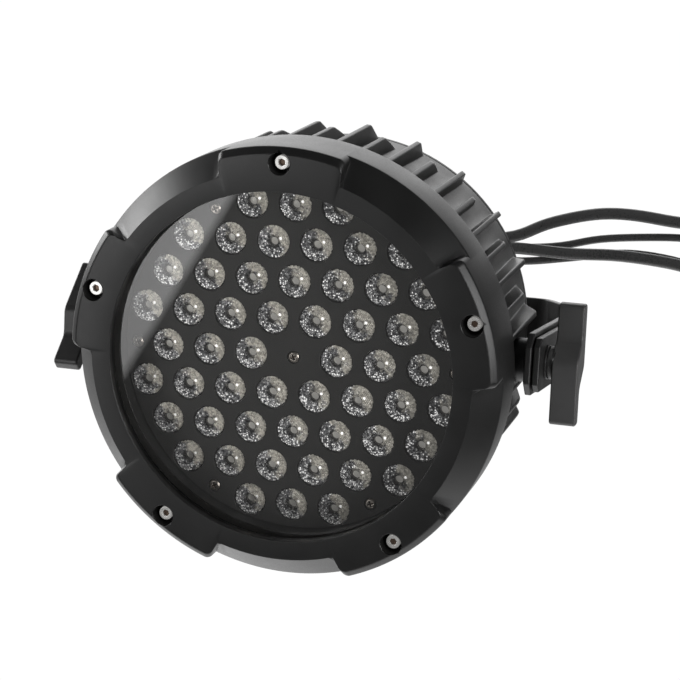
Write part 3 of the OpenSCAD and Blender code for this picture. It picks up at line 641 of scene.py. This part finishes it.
def build_housing():
    """Finned shell with a plate across it and a hollow boss on each side."""
    bm = bmesh.new()
    angles, sections = [], []
    step = 360 / FIN_COUNT
    for number in range(FIN_COUNT):
        for offset, share in reversed(FIN_SECTION):
            angles.append(number * step + math.degrees(offset / 125.0))
            sections.append(housing_section(number, share))
        angles.append((number + 0.5) * step)
        sections.append(housing_section(number, 0.0))
    add_swept(bm, angles, sections, beam, False)
    for side in (-1, 1):
        boss = rounded([(STUD_HOLE_R, BOSS_FOOT, 0), (BOSS_R, BOSS_FOOT, 0), (BOSS_R, BOSS_X, 1.6),
                        (STUD_HOLE_R, BOSS_X, 0.5)])
        place = lambda x, y, h, side=side: along_x(x * side, y, h * side)
        add_turned(bm, boss, place, 64)
    piece("housing", finish_mesh("housing", bm), sharp=50)


# ---- Glass ----


def build_glass():
    bm = bmesh.new()
    flat_r = GLASS_R - 2.0
    add_turned(bm, rounded([(0, GLASS_BACK, 0), (flat_r, GLASS_BACK, 0), (GLASS_R, GLASS_BACK, 0.5),
                            (GLASS_R, GLASS_FRONT, 0.5), (flat_r, GLASS_FRONT, 0),
                            (0, GLASS_FRONT, 0)], 3, False), beam, 144, False)
    piece("front_glass", finish_mesh("glass", bm), sharp=30)


# ---- Lenses ----

RIM_SIDES = 72
WELL_SIDES = 28


def circle_points(r, sides):
    return [Vector((r * math.cos(math.tau * i / sides), r * math.sin(math.tau * i / sides)))
            for i in range(sides)]


def bead_lattice():
    """Bead middles, and the corners and edge middles between them, inside the lens front."""
    row = BEAD_PITCH * math.sqrt(3) / 2
    reach = int(LENS_R / row) + 2
    middles, low = [], []
    for j in range(-reach, reach + 1):
        for i in range(-reach, reach + 1):
            middle = Vector(((i + (j % 2) / 2) * BEAD_PITCH, j * row))
            middles.append(middle)
            for k in range(6):
                a = math.radians(60 * k)
                out = Vector((math.cos(a), math.sin(a)))
                across = Vector((-math.sin(a), math.cos(a))) * BEAD_PITCH / math.sqrt(12)
                if k < 3:
                    low.append(middle + out * BEAD_PITCH / 2)
                if k in (0, 1):
                    low.append(middle + out * BEAD_PITCH / 2 + across)
    inside = lambda p: WELL_R + 0.12 < p.length < LENS_R - 0.55
    return [p for p in middles if inside(p)], [p for p in low if inside(p)]


def lens_front():
    """Points, heights and triangles of the beaded ring between the well and the rim."""
    middles, low = bead_lattice()
    rim = circle_points(LENS_R - 0.4, RIM_SIDES)
    well = circle_points(WELL_R, WELL_SIDES)
    points = rim + well + middles + low
    heights = [0.0] * (len(rim) + len(well)) + [BEAD_HEIGHT] * len(middles) + [0.0] * len(low)
    ring = lambda start, count: [(start + i, start + (i + 1) % count) for i in range(count)]
    edges = ring(0, RIM_SIDES) + ring(RIM_SIDES, WELL_SIDES)
    found = geometry.delaunay_2d_cdt(points, edges, [], 0, 1e-5)
    out_points, out_faces, sources = found[0], found[2], found[3]
    tall = [max((heights[k] for k in source), default=0.0) for source in sources]
    triangles = []
    for face in out_faces:
        centre = sum((out_points[k] for k in face), Vector((0, 0))) / len(face)
        if WELL_R * 0.99 < centre.length < LENS_R - 0.38:
            triangles.append(face)
    return out_points, tall, triangles


LENS_FRONT = lens_front()


def add_lens(bm, x, y, local):
    """One collimator lens with its axis at (x, y)."""
    points, tall, triangles = LENS_FRONT
    place = moved(beam, x, y)
    base = BEAD_BASE
    front = [bm.verts.new(place(p.x, p.y, base + t)) for p, t in zip(points, tall)]
    for v, p in zip(front, points):
        v[local] = (p.x / LENS_R, 1.0, p.y / LENS_R)
    for face in triangles:
        bm.faces.new([front[k] for k in face])
    add_turned(bm, [(LENS_R - 0.4, base), (LENS_R - 0.1, base + 0.1), (LENS_R, base - 0.2),
                    (LENS_R, 43.6), (9.3, 40), (7.6, 36.2), (5.2, LENS_REAR), (3.8, LENS_REAR),
                    (3.4, 36.5), (0, 36.5)], place, RIM_SIDES, False)
    add_turned(bm, [(WELL_R, base), (WELL_R - 0.15, base - 0.4), (WELL_R - 0.2, WELL_FLOOR + 0.25),
                    (WELL_R - 0.4, WELL_FLOOR + 0.05), (1.2, WELL_FLOOR + 0.1),
                    (0, WELL_FLOOR + 0.1)], place, WELL_SIDES, False)


def build_lenses():
    """One object per row of the hexagonal lens lattice."""
    row_step = LENS_PITCH * math.sqrt(3) / 2
    for row in range(-4, 5):
        bm = bmesh.new()
        local = bm.verts.layers.float_vector.new("local")
        for column in range(-4, 5):
            x = (column + (row % 2) / 2) * LENS_PITCH
            y = row * row_step
            # The middle site holds a screw, and the plate ends beyond the outer sites
            if 0.5 < (x * x + y * y) / LENS_PITCH ** 2 < 13.5:
                add_lens(bm, x, y, local)
        piece("collimator_lenses", finish_mesh("lenses", bm), f"lens_row_{row + 5}", 9)


# ---- CAD shapes with softened edges ----


# Screw axes, radius that takes in the recess, and a height just under the top of the head; the socket
# below that height gets painted shade
SCREW_AXES = {
    "bezel_screws": (BEZEL_SCREWS, 2.5, FACE - 5.6),
    "lens_plate_screws": ([(0.0, 0.0)] + ring_axes(6, PLATE_SCREW_R, 0.0), 2.3, 46.2),
}
# Plate whose flat faces keep their triangles, because so many holes cross them
PIERCED = "rear_cover"


def softened(node, width):
    """Copy of a CAD node with its edges rounded to the given width."""
    bm = bmesh.new()
    bm.from_mesh(NODES[node].data)
    bmesh.ops.remove_doubles(bm, verts=bm.verts, dist=2e-6)
    if node != PIERCED:
        bmesh.ops.dissolve_limit(bm, angle_limit=math.radians(0.4), verts=bm.verts, edges=bm.edges)
    mesh = finish_mesh(node, bm)
    if node in SCREW_AXES:
        axes, mouth_r, top = SCREW_AXES[node]
        # Painted shade in the screw sockets.
        mark(mesh, lambda x, y, h: h < top and nearest(axes, x, y) < mouth_r)
    obj = piece(node, mesh)
    bevel = obj.modifiers.new("soft edges", "BEVEL")
    bevel.width = width * MM
    bevel.segments = 3
    bevel.limit_method = "ANGLE"
    bevel.angle_limit = math.radians(28)
    bevel.use_clamp_overlap = False
    obj.modifiers.new("even shading", "WEIGHTED_NORMAL")


def smoothed(node):
    """Copy of a faceted CAD node, such as a cable, with a subdivided skin."""
    bm = bmesh.new()
    bm.from_mesh(NODES[node].data)
    bmesh.ops.remove_doubles(bm, verts=bm.verts, dist=2e-6)
    bmesh.ops.join_triangles(bm, faces=bm.faces, angle_face_threshold=math.radians(60),
                             angle_shape_threshold=math.radians(60))
    obj = piece(node, finish_mesh(node, bm))
    skin = obj.modifiers.new("round", "SUBSURF")
    skin.levels = 1
    skin.render_levels = 1


# Width of the edge rounding of each CAD shape, in millimetres
SOFT_EDGES = {
    "bezel_screws": 0.3, "lens_plate_screws": 0.2, "rear_cover": 0.5,
    "rear_cover_screws": 0.3, "control_panel": 0.3, "button_menu": 0.4, "button_up": 0.4,
    "button_down": 0.4, "button_enter": 0.4, "gland_bodies": 0.4, "gland_nuts": 0.5,
    "power_in_plug": 0.5, "power_out_socket": 0.5, "signal_in_plug": 0.35,
    "signal_out_socket": 0.35, "power_in_ring": 0.4, "power_out_ring": 0.4,
    "signal_in_ring": 0.3, "signal_out_ring": 0.3, "vent_plug": 0.3, "safety_eye": 0.9,
    "friction_washers": 0.4, "spacer_washers": 0.4, "stand_yoke": 0.8, "hanging_yoke": 0.8,
    "clamp_washer_left": 0.3, "clamp_washer_right": 0.3, "knob_left": 1.1, "knob_right": 1.1,
    "knob_stud_left": 0.4, "knob_stud_right": 0.4,
}
CABLES = ("power_in_cable", "power_out_cable", "signal_in_cable", "signal_out_cable")


def dress_frame():
    """Softens the plain CAD shapes, and gives every node left as packed its material."""
    for node, width in SOFT_EDGES.items():
        softened(node, width)
    for node in CABLES:
        smoothed(node)
    for node, obj in NODES.items():
        if not obj.hide_render:
            for place in obj.material_slots:
                place.material = MATERIALS[SLOT_OF[node]]


# ---- Studio ----

CAMERA_AZIMUTH = 17.06
CAMERA_ELEVATION = 15.09
CAMERA_ROLL = 1.10
CAMERA_DISTANCE = 1.33145
CAMERA_TARGET = Vector((0.01415, 0.00428, -0.00033))
CAMERA_LENS = 112.08
BASE_LIGHT = 0.055
# Direction to the middle of each light, the angles where it starts and stops fading, its strength
STUDIO = [
    ((-0.947, 0.1, 0.3), 7, 17, 10.0),
    ((0.87, -0.47, 0.16), 13, 22, 6.0),
    ((-0.1, 0.25, -0.95), 30, 60, 1.3),
    ((-0.4, 0.88, 0.25), 22, 44, 1.5),
    ((-0.8, 0.45, -0.35), 20, 50, 0.35),
    ((0.0, 1.0, -0.2), 30, 70, 0.11),
    ((0.15, -0.93, -0.3), 12, 45, 0.125),
]
FLOOR_DROP = 0.16
# Card: half its width, the middle of its sharp edge, and its lean in degrees
CARD_HALF = 0.25
CARD_EDGE = Vector((-0.384, -0.9, -0.166))
CARD_LEAN = 31.0


def build_camera():
    """Camera at the photo's viewing angle."""
    azimuth, elevation = math.radians(CAMERA_AZIMUTH), math.radians(CAMERA_ELEVATION)
    back = Vector((math.sin(azimuth) * math.cos(elevation),
                   -math.cos(azimuth) * math.cos(elevation), math.sin(elevation)))
    camera = bpy.data.objects.new("camera", bpy.data.cameras.new("camera"))
    bpy.context.scene.collection.objects.link(camera)
    turn = (-back).to_track_quat("-Z", "Y").to_matrix() @ Matrix.Rotation(
        math.radians(CAMERA_ROLL), 3, "Z")
    camera.matrix_world = Matrix.Translation(CAMERA_TARGET + back * CAMERA_DISTANCE) @ turn.to_4x4()
    camera.data.lens = CAMERA_LENS
    camera.data.sensor_width = 36.0
    camera.data.clip_start = 0.01
    bpy.context.scene.camera = camera


def build_world():
    """White to the camera; to the object, soft boxes and bounce cards laid out by direction."""
    world = bpy.data.worlds.new("studio")
    bpy.context.scene.world = world
    world.use_nodes = True
    nodes, links = world.node_tree.nodes, world.node_tree.links
    nodes.clear()
    direction = nodes.new("ShaderNodeTexCoord").outputs["Generated"]
    total = nodes.new("ShaderNodeValue").outputs[0]
    total.default_value = BASE_LIGHT
    for toward, inner, outer, strength in STUDIO:
        facing = nodes.new("ShaderNodeVectorMath")
        facing.operation = "DOT_PRODUCT"
        links.new(direction, facing.inputs[0])
        facing.inputs[1].default_value = Vector(toward).normalized()
        glow = nodes.new("ShaderNodeMapRange")
        glow.interpolation_type = "SMOOTHSTEP"
        links.new(facing.outputs["Value"], glow.inputs[0])
        limits = (math.cos(math.radians(outer)), math.cos(math.radians(inner)), 0.0, strength)
        for key, number in zip((1, 2, 3, 4), limits):
            glow.inputs[key].default_value = number
        add = nodes.new("ShaderNodeMath")
        links.new(total, add.inputs[0])
        links.new(glow.outputs[0], add.inputs[1])
        total = add.outputs[0]
    seen = nodes.new("ShaderNodeBackground")
    room = nodes.new("ShaderNodeBackground")
    for shade in (seen, room):
        shade.inputs["Color"].default_value = grey(1.0)
    links.new(total, room.inputs["Strength"])
    mix = nodes.new("ShaderNodeMixShader")
    links.new(nodes.new("ShaderNodeLightPath").outputs["Is Camera Ray"], mix.inputs[0])
    links.new(room.outputs[0], mix.inputs[1])
    links.new(seen.outputs[0], mix.inputs[2])
    links.new(mix.outputs[0], nodes.new("ShaderNodeOutputWorld").inputs[0])


def studio_only(obj, camera, glossy):
    """Keeps a piece of the studio out of the light paths it isn't meant for."""
    obj.visible_camera = camera
    obj.visible_glossy = glossy
    obj.visible_diffuse = False
    obj.visible_shadow = False
    obj.visible_transmission = False


def plane(name, width, height, material):
    bm = bmesh.new()
    corners = [(-1, -1), (1, -1), (1, 1), (-1, 1)]
    bm.faces.new([bm.verts.new((x * width / 2, y * height / 2, 0)) for x, y in corners])
    obj = bpy.data.objects.new(name, finish_mesh(name, bm))
    obj.data.materials.append(material)
    bpy.context.scene.collection.objects.link(obj)
    return obj


def build_floor():
    """Plain white floor, seen by the camera and not by the object."""
    g = Graph("pale_floor")
    g.surface(g.add("Emission", Color=grey(1.0), Strength=1.02).outputs[0])
    floor = plane("floor", 16.0, 16.0, g.material)
    floor.location.z = cad_low.z - FLOOR_DROP
    studio_only(floor, True, False)


def build_card():
    """Bright card at the front left, mirrored in the upper left of the window along one edge."""
    g = Graph("card_glow")
    where = g.add("SeparateXYZ", Vector=g.add("TexCoord").outputs["Object"])
    edge = g.ramp(where.outputs[0], CARD_HALF, CARD_HALF - 0.012)
    along = g.ramp(where.outputs[1], -0.15, 0.15, 1.9, 2.6)
    g.surface(g.add("Emission", Color=grey(1.0), Strength=g.math("MULTIPLY", edge, along)).outputs[0])
    card = plane("card", 2 * CARD_HALF, 0.8, g.material)
    lean = math.radians(CARD_LEAN)
    out = Vector((math.cos(lean), 0.0, -math.sin(lean)))
    card.matrix_world = Matrix.Translation(CARD_EDGE - out * CARD_HALF) @ Matrix((
        (out.x, -out.z, 0.0, 0.0), (0.0, 0.0, 1.0, 0.0), (out.z, out.x, 0.0, 0.0), (0.0, 0.0, 0.0, 1.0)))
    studio_only(card, False, True)


build_bezel()
build_housing()
build_glass()
build_lenses()
dress_frame()
build_camera()
build_world()
build_floor()
build_card()
bpy.context.scene.view_settings.view_transform = "Standard"
